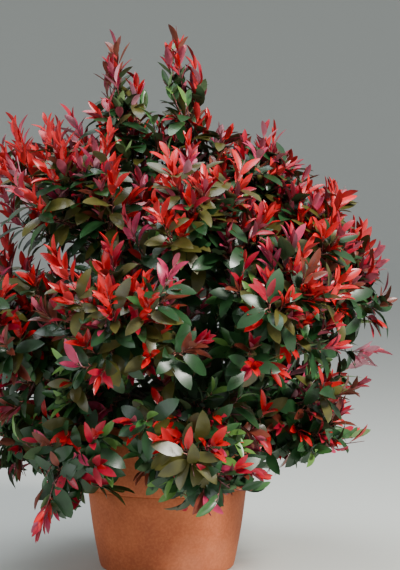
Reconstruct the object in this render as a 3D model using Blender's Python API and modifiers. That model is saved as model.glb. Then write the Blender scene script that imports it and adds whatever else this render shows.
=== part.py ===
"""Potted photinia: a terracotta pot filled with compost, and a broad evergreen shrub with red shoots.

The shrub is a short trunk, its boughs, and masses of foliage that each keep to their own space.
Metres, +Z up, origin at the centre of the pot's flat underside, -Y towards the viewer.
"""

import collections
import math
import random

import bmesh
import bpy
from mathutils import Matrix, Vector
from mathutils.bvhtree import BVHTree

OBJECT_NAME = "potted_photinia"

# Gaps and clearances
SEAT_GAP = 0.0003
LIMB_CLEARANCE = 0.0015
CELL_MARGIN = 0.0010

# Pot
POT_HEIGHT = 0.360
POT_FOOT_RADIUS = 0.165
POT_LINE_RADIUS = 0.196
POT_RIM_RADIUS = 0.200
POT_WALL = 0.016
POT_FLOOR = 0.022
POT_LINE_HEIGHT = 0.198
POT_LINE_WIDTH = 0.004
POT_LINE_DEPTH = 0.0015
POT_BELLY = 0.003
POT_LIP_HEIGHT = 0.066
POT_LIP_STEP = 0.0022
POT_EDGE = 0.004
POT_STEPS = 40
DRAIN_RADIUS = 0.007
DRAIN_RING = 0.085
DRAIN_COUNT = 3

# Compost
SOIL_EDGE_HEIGHT = 0.326
SOIL_HEIGHT = 0.335
SOIL_FLAT_RADIUS = 0.050

# Trunk: its radius at shares of its height, from the flare up
TRUNK_HEIGHT = 0.145
TRUNK_LEAN = Vector((0.006, -0.003, 0.0))
TRUNK_TAPER = ((0.0, 0.036), (0.06, 0.030), (0.16, 0.0245), (0.32, 0.021),
               (0.62, 0.0185), (0.88, 0.0165), (1.0, 0.015))

# Limbs: steps in a bough and a stem, and the reach of a curve's two handles as shares of its length
BOUGH_STEPS = 5
STEM_STEPS = 4
HANDLE_OUT = 0.38
HANDLE_IN = 0.34
STUB = 0.012
FOOT_TESTS = 24
FARTHEST_SEAT = 0.12

# A limb's way: where it leaves its parent, its direction there, its tip, its direction there, and
# its radius at both ends
Route = collections.namedtuple("Route", "share heading tip tip_heading radii")

# Places round the trunk, which are farthest out and highest, or lowest, at one turn
Ring = collections.namedtuple("Ring", "reach spread height tilt turn")


def polar(radius, azimuth, height):
    return Vector((radius * math.cos(azimuth), radius * math.sin(azimuth), height))


def ring_heading(azimuth, elevation):
    return polar(math.cos(elevation), azimuth, math.sin(elevation))


# Upper boughs and the tips of their foliage
LEADER = Route(0.98, Vector((0.12, 0.05, 1.0)).normalized(), Vector((0.088, 0.004, 0.850)),
               Vector((0.05, 0.0, 1.0)).normalized(), (0.0125, 0.0055))
LEFT_SPIRE = Route(0.34, ring_heading(math.radians(190), 0.75), Vector((-0.050, -0.020, 0.850)),
                   ring_heading(math.radians(170), 1.45), (0.0065, 0.0042))
RIGHT_CREST = Route(0.55, ring_heading(math.radians(-20), 0.75), Vector((0.185, -0.040, 0.800)),
                    ring_heading(math.radians(-15), 1.25), (0.0060, 0.0042))
CENTRE_SPIRE_TIP = Vector((0.025, 0.0, 1.296))
LEFT_SPIRE_TIP = Vector((-0.126, -0.030, 1.262))
RIGHT_CREST_TIP = Vector((0.245, -0.050, 1.050))

# Rings of boughs: seven each of main, side and low ones, with their elevations at foot and tip
RING_COUNT = 7
RING_STEP = math.tau / RING_COUNT
MAIN_TIPS = Ring(0.175, 0.0, 0.715, -0.030, 0.0)
MAIN_FOOT = 0.62
MAIN_FOOT_STEP = 0.045
MAIN_FOOT_SKIP = 3
MAIN_CLIMB = (0.62, 1.02)
MAIN_RADII = (0.0082, 0.0045)
SIDE_TIPS = Ring(0.285, 0.0, 0.590, 0.030, 0.0)
SIDE_FOOT = 0.40
SIDE_TURN = 0.30
SIDE_CLIMB = (0.42, 0.40)
SIDE_RADII = (0.0052, 0.0036)
LOW_TIPS = Ring(0.235, 0.0, 0.432, 0.0, 0.0)
LOW_FOOT = 0.26
LOW_FOOT_STEP = 0.10
LOW_CLIMB = (0.36, 0.02)
LOW_RADII = (0.0062, 0.0040)

# Rings of foliage tips. The skirt hangs lowest at the front left
SHOULDER_TIPS = Ring(0.425, 0.050, 0.970, -0.080, 0.0)
MIDDLE_TIPS = Ring(0.555, -0.010, 0.680, 0.065, 0.0)
SKIRT_TIPS = Ring(0.445, 0.0, 0.235, -0.075, math.radians(235))

# How strongly shoots turn up, or down where negative
CROWN_TROPISM = 0.35
MIDDLE_TROPISM = 0.10
SKIRT_TROPISM = -0.30

# Crown outline: a dome sheared so that its left side stands higher
DOME_RADIUS = 0.560
DOME_WAIST = 0.720
DOME_RISE = 0.345
DOME_FALL = 0.610
DOME_POWER = 2.5
DOME_SHEAR = 0.18
TIP_REACH = 0.085

# Leaves: sizes, what an outward facing weighs, and angles off the twig in degrees at its foot, with
# what they lose by its tip
GOLDEN_ANGLE = math.pi * (3.0 - math.sqrt(5.0))
LEAF_LENGTH = 0.128
LEAF_WIDTH = 0.064
LEAF_THICKNESS = 0.0032
LEAF_FOLD = 0.007
LEAF_OUTWARD = 3.0
LEAF_WIDEST = 0.46
LEAF_VARIATION = (0.88, 1.08)
LEAF_SPREAD = 62
LEAF_CLOSING = 30
FIRST_LEAF = 0.30
LEAF_STRETCH = 0.66
END_LEAF = 0.95
BLADE_FOOT = 0.35

# Stems and twigs, with the lengths that are tried where a whole twig doesn't fit
STEM_TIP_RADIUS = 0.0024
STEM_LEAVES = 3
STEM_END_LEAF = 0.97
STEM_END_SHARE = 0.92
TWIG_RADII = (0.0032, 0.0020)
TWIG_LENGTH = 0.150
TWIG_SHORTENING = 0.45
TWIG_VARIATION = (0.85, 1.1)
TWIG_TRIES = (1.0, 0.75, 0.5)
TWIG_SPREAD = 72
TWIG_CLOSING = 22
FIRST_TWIG = 0.10
TWIG_STRETCH = 0.78
TWIGS_PER_MASS = 7
LEAVES_PER_TWIG = 2
TWIG_FREE_START = 0.014

# Colours
TERRACOTTA = (0.46, 0.115, 0.040)
COMPOST = (0.030, 0.018, 0.012)
BARK = (0.075, 0.045, 0.035)
RED_FOLIAGE = (0.50, 0.022, 0.030)
BRONZE_FOLIAGE = (0.22, 0.050, 0.030)
GREEN_FOLIAGE = (0.050, 0.130, 0.030)

Limb = collections.namedtuple("Limb", "name path radii tree")
Mass = collections.namedtuple("Mass", "name start heading base_radius tip tropism material")


def clear_scene():
    for obj in list(bpy.data.objects):
        bpy.data.objects.remove(obj, do_unlink=True)


def add_collection(name, hidden=False):
    collection = bpy.data.collections.new(name)
    collection.hide_render = hidden
    bpy.context.scene.collection.children.link(collection)
    return collection


def make_material(name, colour, roughness):
    material = bpy.data.materials.new(name)
    material.use_nodes = True
    surface = material.node_tree.nodes["Principled BSDF"]
    surface.inputs["Base Color"].default_value = (*colour, 1.0)
    surface.inputs["Roughness"].default_value = roughness
    surface.inputs["Metallic"].default_value = 0.0
    material.diffuse_color = (*colour, 1.0)
    return material


def add_object(name, data, collection, material=None):
    obj = bpy.data.objects.new(name, data)
    collection.objects.link(obj)
    if material:
        data.materials.append(material)
    return obj


# Pot and compost


def turned(name, profile, collection, material):
    """A body of revolution from (radius, height) points that run down its outer side."""
    mesh = bpy.data.meshes.new(name)
    points = [(radius, 0.0, height) for radius, height in profile]
    mesh.from_pydata(points, [(i, i + 1) for i in range(len(points) - 1)], [])
    obj = add_object(name, mesh, collection, material)
    screw = obj.modifiers.new("turn", "SCREW")
    screw.steps = POT_STEPS
    screw.render_steps = POT_STEPS
    screw.use_merge_vertices = True
    screw.merge_threshold = 1e-5
    screw.use_smooth_shade = True
    return obj


def inner_radius(height):
    """Inside radius of the pot, whose inner wall is a straight cone from the floor to the rim."""
    foot = POT_FOOT_RADIUS - POT_WALL + POT_BELLY
    rim = POT_RIM_RADIUS - POT_WALL
    return foot + (rim - foot) * (height - POT_FLOOR) / (POT_HEIGHT - POT_FLOOR)


def belly_radius(height):
    """Outside radius below the incised line: a cone with a slight outward swell."""
    share = height / POT_LINE_HEIGHT
    cone = POT_FOOT_RADIUS + (POT_LINE_RADIUS - POT_FOOT_RADIUS) * share
    return cone + POT_BELLY * math.sin(math.pi * share)


def make_pot(collection, helpers, material):
    lip = POT_HEIGHT - POT_LIP_HEIGHT
    rim_inside = inner_radius(POT_HEIGHT)
    body_radius = POT_RIM_RADIUS - POT_LIP_STEP
    line_top = POT_LINE_HEIGHT + POT_LINE_WIDTH / 2
    line_foot = POT_LINE_HEIGHT - POT_LINE_WIDTH / 2
    profile = [
        (0.0, POT_FLOOR),
        (inner_radius(POT_FLOOR), POT_FLOOR),
        (inner_radius(POT_HEIGHT - POT_EDGE), POT_HEIGHT - POT_EDGE),
        (rim_inside + POT_EDGE, POT_HEIGHT),
        (POT_RIM_RADIUS - POT_EDGE, POT_HEIGHT),
        (POT_RIM_RADIUS, POT_HEIGHT - POT_EDGE),
        (POT_RIM_RADIUS, lip),
        (body_radius, lip - POT_LIP_STEP),
        (POT_LINE_RADIUS + POT_LINE_DEPTH / 2, line_top),
        (POT_LINE_RADIUS - POT_LINE_DEPTH, POT_LINE_HEIGHT),
        (belly_radius(line_foot), line_foot),
        (belly_radius(POT_LINE_HEIGHT * 0.66), POT_LINE_HEIGHT * 0.66),
        (belly_radius(POT_LINE_HEIGHT * 0.33), POT_LINE_HEIGHT * 0.33),
        (POT_FOOT_RADIUS, POT_EDGE),
        (POT_FOOT_RADIUS - POT_EDGE, 0.0),
        (0.0, 0.0),
    ]
    pot = turned("pot", profile, collection, material)
    for index in range(DRAIN_COUNT):
        cut_drain(pot, index, helpers)


def cut_drain(pot, index, helpers):
    """One of the ring of drain holes through the floor, round the solid centre of the underside."""
    mesh = bpy.data.meshes.new("drain")
    shape = bmesh.new()
    bmesh.ops.create_cone(shape, cap_ends=True, segments=12, radius1=DRAIN_RADIUS,
                          radius2=DRAIN_RADIUS, depth=POT_FLOOR * 3)
    shape.to_mesh(mesh)
    shape.free()
    drill = add_object(f"drain_drill_{index + 1}", mesh, helpers)
    drill.location = polar(DRAIN_RING, index * math.tau / DRAIN_COUNT, 0.0)
    drill.hide_render = True
    drill.display_type = "WIRE"
    cut = pot.modifiers.new(f"drain {index + 1}", "BOOLEAN")
    cut.object = drill


def make_soil(collection, material):
    edge_radius = inner_radius(SOIL_EDGE_HEIGHT) - SEAT_GAP
    foot = POT_FLOOR + SEAT_GAP
    profile = [
        (0.0, SOIL_HEIGHT),
        (SOIL_FLAT_RADIUS, SOIL_HEIGHT),
        (edge_radius * 0.7, (SOIL_HEIGHT + SOIL_EDGE_HEIGHT) / 2),
        (edge_radius, SOIL_EDGE_HEIGHT),
        (inner_radius(foot) - SEAT_GAP, foot),
        (0.0, foot),
    ]
    turned("soil", profile, collection, material)


# Limbs


def bezier(start, control_a, control_b, end, share):
    rest = 1.0 - share
    return (start * rest**3 + control_a * (3 * rest**2 * share)
            + control_b * (3 * rest * share**2) + end * share**3)


def sweep(start, heading, end, end_heading, count):
    """A path that leaves its start straight along its heading and then bends over to its end."""
    reach = (end - start).length
    bend_start = start + heading * STUB
    control_a = start + heading * reach * HANDLE_OUT
    control_b = end - end_heading * reach * HANDLE_IN
    path = [start]
    for step in range(count):
        path.append(bezier(bend_start, control_a, control_b, end, step / (count - 1)))
    return path


def taper(base_radius, tip_radius, count):
    return [base_radius + (tip_radius - base_radius) * i / (count - 1) for i in range(count)]


def tube_curve(name, path, radii, profile=None):
    """A curve through the path whose bevel is round, or has the given outline."""
    curve = bpy.data.curves.new(name, "CURVE")
    curve.dimensions = "3D"
    curve.use_fill_caps = True
    if profile:
        curve.bevel_mode = "OBJECT"
        curve.bevel_object = profile
    else:
        curve.bevel_depth = 1.0
        curve.bevel_resolution = 2
    spline = curve.splines.new("POLY")
    spline.points.add(len(path) - 1)
    for point, place, radius in zip(spline.points, path, radii):
        point.co = (*place, 1.0)
        point.radius = radius
    return curve


def mesh_of(obj):
    """The object's evaluated mesh with its caps welded and its faces turned outwards."""
    graph = bpy.context.evaluated_depsgraph_get()
    mesh = bpy.data.meshes.new_from_object(obj.evaluated_get(graph))
    shape = bmesh.new()
    shape.from_mesh(mesh)
    bmesh.ops.remove_doubles(shape, verts=shape.verts, dist=1e-6)
    bmesh.ops.recalc_face_normals(shape, faces=shape.faces)
    shape.to_mesh(mesh)
    shape.free()
    return mesh


def tree_of(mesh):
    return BVHTree.FromPolygons([v.co.copy() for v in mesh.vertices],
                                [tuple(p.vertices) for p in mesh.polygons])


def add_limb(name, path, radii, collection, material):
    obj = add_object(name, tube_curve(name, path, radii), collection, material)
    mesh = mesh_of(obj)
    tree = tree_of(mesh)
    bpy.data.meshes.remove(mesh)
    return Limb(name, path, radii, tree)


def foot_clearance(tree, centre, heading, radius):
    """Least distance from a round cut end to a limb's surface, negative inside it."""
    side = heading.orthogonal().normalized()
    clearance = math.inf
    for index in range(FOOT_TESTS):
        turn = Matrix.Rotation(index * math.tau / FOOT_TESTS, 3, heading)
        point = centre + turn @ side * radius
        nearest, normal, _, distance = tree.find_nearest(point)
        outside = (point - nearest).dot(normal) > 0.0
        clearance = min(clearance, distance if outside else -distance)
    return clearance


def seat_on(parent, place, heading, radius):
    """Slide a limb's cut end out from its parent's axis until it stands the seat gap clear."""
    near, far = 0.0, FARTHEST_SEAT
    for _ in range(FOOT_TESTS):
        middle = (near + far) / 2
        if foot_clearance(parent.tree, place + heading * middle, heading, radius) < SEAT_GAP:
            near = middle
        else:
            far = middle
    return place + heading * far


def point_on(path, share):
    """Place and direction at a share of the path's length."""
    lengths = [(b - a).length for a, b in zip(path, path[1:])]
    left = share * sum(lengths)
    for index, length in enumerate(lengths):
        if left <= length or index == len(lengths) - 1:
            break
        left -= length
    start, end = path[index], path[index + 1]
    return start.lerp(end, left / lengths[index]), (end - start).normalized()


def grow_bough(name, parent, route, collection, material):
    place, _ = point_on(parent.path, route.share)
    start = seat_on(parent, place, route.heading, route.radii[0])
    path = sweep(start, route.heading, route.tip, route.tip_heading, BOUGH_STEPS)
    return add_limb(name, path, taper(*route.radii, len(path)), collection, material)


def make_trunk(collection, material):
    """A short leaning trunk that flares where it leaves the compost."""
    foot = Vector((0.0, 0.0, SOIL_HEIGHT + SEAT_GAP))
    path = [foot + Vector((0.0, 0.0, TRUNK_HEIGHT * share)) + TRUNK_LEAN * share**2
            for share, _ in TRUNK_TAPER]
    return add_limb("trunk", path, [radius for _, radius in TRUNK_TAPER], collection, material)


def place_on(ring, azimuth):
    swing = math.cos(azimuth - ring.turn)
    return polar(ring.reach + ring.spread * swing, azimuth, ring.height + ring.tilt * swing)


def ring_route(share, foot_azimuth, azimuth, tips, climb, radii):
    """The way of a bough in a ring, out from its foot to its place among the tips."""
    foot_climb, tip_climb = climb
    return Route(share, ring_heading(foot_azimuth, foot_climb), place_on(tips, azimuth),
                 ring_heading(azimuth, tip_climb), radii)


def make_boughs(trunk, collection, material):
    """Every bough of the shrub, and the foliage mass that each one carries."""
    build = (collection, material)
    leader = grow_bough("leader_bough", trunk, LEADER, *build)
    left_spire = grow_bough("left_spire_bough", leader, LEFT_SPIRE, *build)
    right_crest = grow_bough("right_crest_bough", leader, RIGHT_CREST, *build)
    limbs = [trunk, leader, left_spire, right_crest]
    masses = [
        mass_on(leader, "centre_spire_foliage", CENTRE_SPIRE_TIP, CROWN_TROPISM, "red"),
        mass_on(left_spire, "left_spire_foliage", LEFT_SPIRE_TIP, CROWN_TROPISM, "red"),
        mass_on(right_crest, "right_crest_foliage", RIGHT_CREST_TIP, CROWN_TROPISM, "red"),
    ]
    for index in range(RING_COUNT):
        azimuth = (index + 0.5) * RING_STEP
        between = azimuth + RING_STEP / 2
        main = grow_main_bough(index, azimuth, trunk, build)
        side = grow_side_bough(index, between, main, build)
        low = grow_low_bough(index, azimuth, trunk, build)
        limbs += [main, side, low]
        shoulder_tip = place_on(SHOULDER_TIPS, azimuth)
        middle_tip = place_on(MIDDLE_TIPS, between)
        skirt_tip = place_on(SKIRT_TIPS, azimuth)
        masses += [
            mass_on(main, f"shoulder_foliage_{index + 1}", shoulder_tip, CROWN_TROPISM, "red"),
            mass_on(side, f"middle_foliage_{index + 1}", middle_tip, MIDDLE_TROPISM, "bronze"),
            mass_on(low, f"skirt_foliage_{index + 1}", skirt_tip, SKIRT_TROPISM, "green"),
        ]
    return limbs, masses


def grow_main_bough(index, azimuth, trunk, build):
    """A bough from the trunk's upper part, whose foot height differs from its neighbours'."""
    share = MAIN_FOOT + MAIN_FOOT_STEP * (index * MAIN_FOOT_SKIP % RING_COUNT)
    route = ring_route(share, azimuth, azimuth, MAIN_TIPS, MAIN_CLIMB, MAIN_RADII)
    return grow_bough(f"main_bough_{index + 1}", trunk, route, *build)


def grow_side_bough(index, azimuth, main, build):
    """A bough that forks from a main one and swings into the space between two of them."""
    route = ring_route(SIDE_FOOT, azimuth + SIDE_TURN, azimuth, SIDE_TIPS, SIDE_CLIMB, SIDE_RADII)
    return grow_bough(f"side_bough_{index + 1}", main, route, *build)


def grow_low_bough(index, azimuth, trunk, build):
    """A bough from the trunk's foot. Neighbours leave it at different heights."""
    share = LOW_FOOT + LOW_FOOT_STEP * (index % 2) + LOW_FOOT_STEP * (index == RING_COUNT - 1)
    route = ring_route(share, azimuth, azimuth, LOW_TIPS, LOW_CLIMB, LOW_RADII)
    return grow_bough(f"low_bough_{index + 1}", trunk, route, *build)


# Foliage


def mass_on(limb, name, tip, tropism, material):
    """A foliage mass whose stem goes straight on from the limb's cut end."""
    heading = (limb.path[-1] - limb.path[-2]).normalized()
    start = limb.path[-1] + heading * SEAT_GAP
    return Mass(name, start, heading, limb.radii[-1], tip, tropism, material)


def cell_walls(mass, masses):
    """Planes half way to every other mass, as (point, normal towards the neighbour)."""
    site = mass.start.lerp(mass.tip, 0.5)
    walls = []
    for other in masses:
        if other is not mass:
            other_site = other.start.lerp(other.tip, 0.5)
            walls.append(((site + other_site) / 2, (other_site - site).normalized()))
    return walls


def in_dome(point):
    height = point.z + DOME_SHEAR * point.x - DOME_WAIST
    rise = height / (DOME_RISE if height > 0.0 else DOME_FALL)
    return (point.xy.length / DOME_RADIUS) ** DOME_POWER + abs(rise) ** DOME_POWER <= 1.0


def near_tip(point, mass):
    """The mass's own leading shoot may stand out of the dome."""
    shoot = mass.tip - mass.start
    share = max(0.0, min(1.0, (point - mass.start).dot(shoot) / shoot.length_squared))
    return (point - mass.start - shoot * share).length < TIP_REACH


def in_space(points, mass, walls):
    for point in points:
        if any((point - place).dot(normal) > -CELL_MARGIN for place, normal in walls):
            return False
        if not (in_dome(point) or near_tip(point, mass)):
            return False
    return True


def obstacle_tree(limbs):
    """Limbs a little fatter than they are, and the pot as a plain drum."""
    shape = bmesh.new()
    for limb in limbs:
        fat = [radius + LIMB_CLEARANCE for radius in limb.radii]
        curve = tube_curve("fat limb", limb.path, fat)
        obj = add_object("fat limb", curve, bpy.context.scene.collection)
        mesh = mesh_of(obj)
        shape.from_mesh(mesh)
        bpy.data.objects.remove(obj, do_unlink=True)
        bpy.data.meshes.remove(mesh)
    drum = Matrix.Translation((0.0, 0.0, POT_HEIGHT / 2))
    bmesh.ops.create_cone(shape, cap_ends=True, segments=POT_STEPS,
                          radius1=POT_RIM_RADIUS + 2 * LIMB_CLEARANCE,
                          radius2=POT_RIM_RADIUS + 2 * LIMB_CLEARANCE,
                          depth=POT_HEIGHT + 2 * LIMB_CLEARANCE, matrix=drum)
    tree = BVHTree.FromBMesh(shape)
    shape.free()
    return tree


def leaf_mesh(root, direction, facing, length):
    """A closed blade of eight faces, folded along its midrib and widest below its middle."""
    across = direction.cross(facing).normalized()
    up = across.cross(direction)
    shape = bmesh.new()
    bmesh.ops.create_uvsphere(shape, u_segments=4, v_segments=2, radius=1.0)
    scale = length / LEAF_LENGTH
    for vertex in shape.verts:
        side, lift, along = vertex.co
        middle = 1.0 - along * along
        forward = length * (0.5 * (along + 1.0) + (LEAF_WIDEST - 0.5) * middle)
        raised = lift * LEAF_THICKNESS / 2 + side * side * LEAF_FOLD * scale
        vertex.co = (root + direction * forward + across * side * LEAF_WIDTH * scale / 2
                     + up * raised)
    bmesh.ops.recalc_face_normals(shape, faces=shape.faces)
    mesh = bpy.data.meshes.new("leaf")
    shape.to_mesh(mesh)
    shape.free()
    return mesh


def blade_tree(mesh, root):
    """The leaf without its narrow foot, for testing what its blade would touch."""
    points = [v.co.copy() for v in mesh.vertices]
    middle = sum(points, Vector()) / len(points)
    points = [root.lerp(middle, BLADE_FOOT) if (p - root).length < 1e-5 else p for p in points]
    return BVHTree.FromPolygons(points, [tuple(p.vertices) for p in mesh.polygons])


class Growth:
    """One mass while it grows: its space, what it must clear, and the pieces placed so far."""

    def __init__(self, mass, masses, obstacles, triangle, collection):
        self.mass = mass
        self.walls = cell_walls(mass, masses)
        self.obstacles = obstacles
        self.triangle = triangle
        self.collection = collection
        self.trees = []
        self.dice = random.Random(mass.name)

    def fits(self, mesh, tree):
        points = [vertex.co for vertex in mesh.vertices]
        if not in_space(points, self.mass, self.walls):
            return False
        return not any(tree.overlap(other) for other in [self.obstacles, *self.trees])

    def keep(self, mesh, tree):
        self.trees.append(tree)
        return add_object("piece", mesh, self.collection)

    def twig(self, start, heading, length):
        """A twig bent towards the light or the ground, shortened until it fits. None where it can't."""
        bent = (heading + Vector((0.0, 0.0, self.mass.tropism))).normalized()
        for share in TWIG_TRIES:
            end = start + bent * length * share
            free_mesh = swept_mesh([start + bent * TWIG_FREE_START, end], TWIG_RADII, self.triangle)
            free_tree = tree_of(free_mesh)
            if self.fits(free_mesh, free_tree):
                self.keep(swept_mesh([start, end], TWIG_RADII, self.triangle), free_tree)
                return [start, end]
        return None

    def leaf(self, root, direction, length=None):
        """A leaf that faces up and outwards, left out where it would not fit."""
        sky = Vector((root.x * LEAF_OUTWARD, root.y * LEAF_OUTWARD, 1.0))
        length = length or LEAF_LENGTH * self.dice.uniform(*LEAF_VARIATION)
        mesh = leaf_mesh(root, direction, sky, length)
        tree = blade_tree(mesh, root)
        if self.fits(mesh, tree):
            self.keep(mesh, tree)

    def leaves_along(self, path, count, first_turn):
        """Leaves at golden angles up a twig, closing on its direction towards the tip."""
        for index in range(count):
            share = FIRST_LEAF + LEAF_STRETCH * index / (count - 1)
            place, heading = point_on(path, share)
            spread = math.radians(LEAF_SPREAD - LEAF_CLOSING * share)
            self.leaf(place, side_heading(heading, first_turn + index * GOLDEN_ANGLE, spread))
        place, heading = point_on(path, END_LEAF)
        self.leaf(place, (heading + Vector((0.0, 0.0, self.mass.tropism * 0.5))).normalized())


def swept_mesh(path, radii, profile):
    curve = tube_curve("twig", path, radii, profile)
    obj = add_object("twig", curve, bpy.context.scene.collection)
    mesh = mesh_of(obj)
    bpy.data.objects.remove(obj, do_unlink=True)
    bpy.data.curves.remove(curve)
    return mesh


def side_heading(heading, turn, spread):
    """A direction that leaves the heading at the spread angle, turned round it."""
    side = heading.orthogonal().normalized()
    side = Matrix.Rotation(turn, 3, heading) @ side
    return (heading * math.cos(spread) + side * math.sin(spread)).normalized()


def grow_mass(mass, masses, obstacles, triangle, collection, material):
    """A stem that runs on from its bough, then twigs up the stem, then leaves on all of them."""
    pieces = bpy.data.collections.new("pieces")
    bpy.context.scene.collection.children.link(pieces)
    growth = Growth(mass, masses, obstacles, triangle, pieces)
    end_heading = (mass.tip - mass.start).normalized()
    end_heading = (end_heading + Vector((0.0, 0.0, mass.tropism))).normalized()
    stem_end = mass.tip - end_heading * LEAF_LENGTH * STEM_END_SHARE
    path = sweep(mass.start, mass.heading, stem_end, end_heading, STEM_STEPS)
    radii = taper(mass.base_radius, STEM_TIP_RADIUS, len(path))
    stem_mesh = swept_mesh(path, radii, triangle)
    stem = add_object(mass.name, stem_mesh, collection, material)
    growth.trees.append(tree_of(stem_mesh))
    root, _ = point_on(path, STEM_END_LEAF)
    growth.leaf(root, (mass.tip - root).normalized(), (mass.tip - root).length)
    first_turn = growth.dice.uniform(0.0, math.tau)
    for index, twig in enumerate(grow_twigs(growth, path, first_turn)):
        growth.leaves_along(twig, LEAVES_PER_TWIG, first_turn + index)
    growth.leaves_along(path, STEM_LEAVES, first_turn)
    fuse(stem, pieces)


def grow_twigs(growth, path, first_turn):
    """Twigs at golden angles up the stem, shorter and steeper towards its tip."""
    twigs = []
    for index in range(TWIGS_PER_MASS):
        share = FIRST_TWIG + TWIG_STRETCH * index / (TWIGS_PER_MASS - 1)
        place, heading = point_on(path, share)
        spread = math.radians(TWIG_SPREAD - TWIG_CLOSING * share)
        out = side_heading(heading, first_turn + index * GOLDEN_ANGLE, spread)
        length = TWIG_LENGTH * (1.0 - TWIG_SHORTENING * share) * growth.dice.uniform(*TWIG_VARIATION)
        twig = growth.twig(place, out, length)
        if twig:
            twigs.append(twig)
    return twigs


def fuse(stem, pieces):
    """Join the stem with its twigs and leaves into one closed body."""
    union = stem.modifiers.new("fused growth", "BOOLEAN")
    union.operation = "UNION"
    union.operand_type = "COLLECTION"
    union.collection = pieces
    stem.data = mesh_of(stem)
    stem.modifiers.clear()
    for piece in list(pieces.objects):
        bpy.data.objects.remove(piece, do_unlink=True)
    bpy.data.collections.remove(pieces)


def make_triangle(helpers):
    """The three-sided outline that twigs are swept with."""
    outline = bpy.data.curves.new("twig_outline", "CURVE")
    spline = outline.splines.new("POLY")
    spline.points.add(2)
    spline.use_cyclic_u = True
    for index, point in enumerate(spline.points):
        point.co = (*polar(1.0, index * math.tau / 3, 0.0), 1.0)
    guide = add_object("twig_outline", outline, helpers)
    guide.hide_render = True
    guide.display_type = "WIRE"
    return guide


def main():
    clear_scene()
    parts = add_collection(OBJECT_NAME)
    helpers = add_collection("helpers", hidden=True)
    terracotta = make_material("terracotta", TERRACOTTA, 0.75)
    compost = make_material("compost", COMPOST, 0.95)
    bark = make_material("bark", BARK, 0.80)
    foliage = {
        "red": make_material("red foliage", RED_FOLIAGE, 0.35),
        "bronze": make_material("bronze foliage", BRONZE_FOLIAGE, 0.35),
        "green": make_material("green foliage", GREEN_FOLIAGE, 0.35),
    }
    make_pot(parts, helpers, terracotta)
    make_soil(parts, compost)
    trunk = make_trunk(parts, bark)
    limbs, masses = make_boughs(trunk, parts, bark)
    obstacles = obstacle_tree(limbs)
    triangle = make_triangle(helpers)
    for mass in masses:
        grow_mass(mass, masses, obstacles, triangle, parts, foliage[mass.material])


main()
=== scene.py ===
"""The looks of a potted photinia: bark, twigs, real-size leaves in sprays, compost and a clay pot.

Metres, +Z up, origin at the centre of the pot's flat underside, -Y towards the viewer.
"""

import collections
import math
import random

import bmesh
import bpy
import numpy as np
from mathutils import Matrix, Vector, noise


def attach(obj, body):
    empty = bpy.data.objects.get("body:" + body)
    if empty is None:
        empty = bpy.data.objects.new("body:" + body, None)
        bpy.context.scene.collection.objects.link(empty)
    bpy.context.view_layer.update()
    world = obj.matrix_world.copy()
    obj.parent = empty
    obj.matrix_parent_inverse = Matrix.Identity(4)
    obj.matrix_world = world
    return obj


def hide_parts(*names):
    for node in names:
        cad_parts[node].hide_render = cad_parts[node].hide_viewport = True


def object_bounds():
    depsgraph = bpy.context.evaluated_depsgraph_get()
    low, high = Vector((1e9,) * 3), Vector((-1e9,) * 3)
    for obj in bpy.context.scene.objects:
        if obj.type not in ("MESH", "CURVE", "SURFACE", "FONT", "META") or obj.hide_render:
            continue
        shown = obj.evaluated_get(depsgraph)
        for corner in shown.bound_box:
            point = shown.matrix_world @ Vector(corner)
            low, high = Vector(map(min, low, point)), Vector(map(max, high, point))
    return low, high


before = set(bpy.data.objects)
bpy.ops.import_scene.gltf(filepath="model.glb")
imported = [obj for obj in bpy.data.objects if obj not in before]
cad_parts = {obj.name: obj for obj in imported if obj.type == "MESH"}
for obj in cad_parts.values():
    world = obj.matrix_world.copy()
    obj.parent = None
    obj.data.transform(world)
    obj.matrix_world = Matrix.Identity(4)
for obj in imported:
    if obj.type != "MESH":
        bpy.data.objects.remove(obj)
CAD_BOX = [list(corner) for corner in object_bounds()]

# Photograph: scale at the pot's axis, the pot's axis and foot in pixels, and the picture's size
METRES_PER_PIXEL = 0.00245
POT_AXIS_PIXEL = 167
POT_FOOT_PIXEL = 567
PICTURE_SIZE = (400, 570)
CAMERA_DISTANCE = 4.6
CAMERA_ELEVATION = math.radians(3.5)
SENSOR_MM = 36.0
SWEEP_START = 12.0
SWEEP_RADIUS = 7.0
SWEEP_STEPS = 12
FLOOR_STEPS = 96
FLOOR_DROP = 0.001
CROWN_MIDDLE = Vector((0.0, 0.0, 0.70))

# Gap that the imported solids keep
SEAT_GAP = 0.0003

# Pot
POT_HEIGHT = 0.360
POT_FOOT_RADIUS = 0.165
POT_LINE_RADIUS = 0.196
POT_RIM_RADIUS = 0.200
POT_WALL = 0.016
POT_FLOOR = 0.022
POT_LINE_HEIGHT = 0.198
POT_LINE_WIDTH = 0.004
POT_LINE_DEPTH = 0.0015
POT_BELLY = 0.003
POT_LIP_HEIGHT = 0.066
POT_LIP_STEP = 0.0022
POT_EDGE = 0.004
POT_STEPS = 160
POT_WOBBLE = 0.0005
DRAIN_RADIUS = 0.007
DRAIN_RING = 0.085
DRAIN_COUNT = 3

# Compost
SOIL_EDGE_HEIGHT = 0.326
SOIL_HEIGHT = 0.335
SOIL_RINGS = 34
SOIL_STEPS = 120
SOIL_ROUGHNESS = 0.0030
SOIL_LUMPS = 34.0
SOIL_GRAINS = 95.0
SOIL_GRAIN_SHARE = 0.6
CRUMB_COUNT = 420
CRUMB_SIZES = (0.0015, 0.0042)
CRUMB_LIFT = 0.0005

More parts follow.
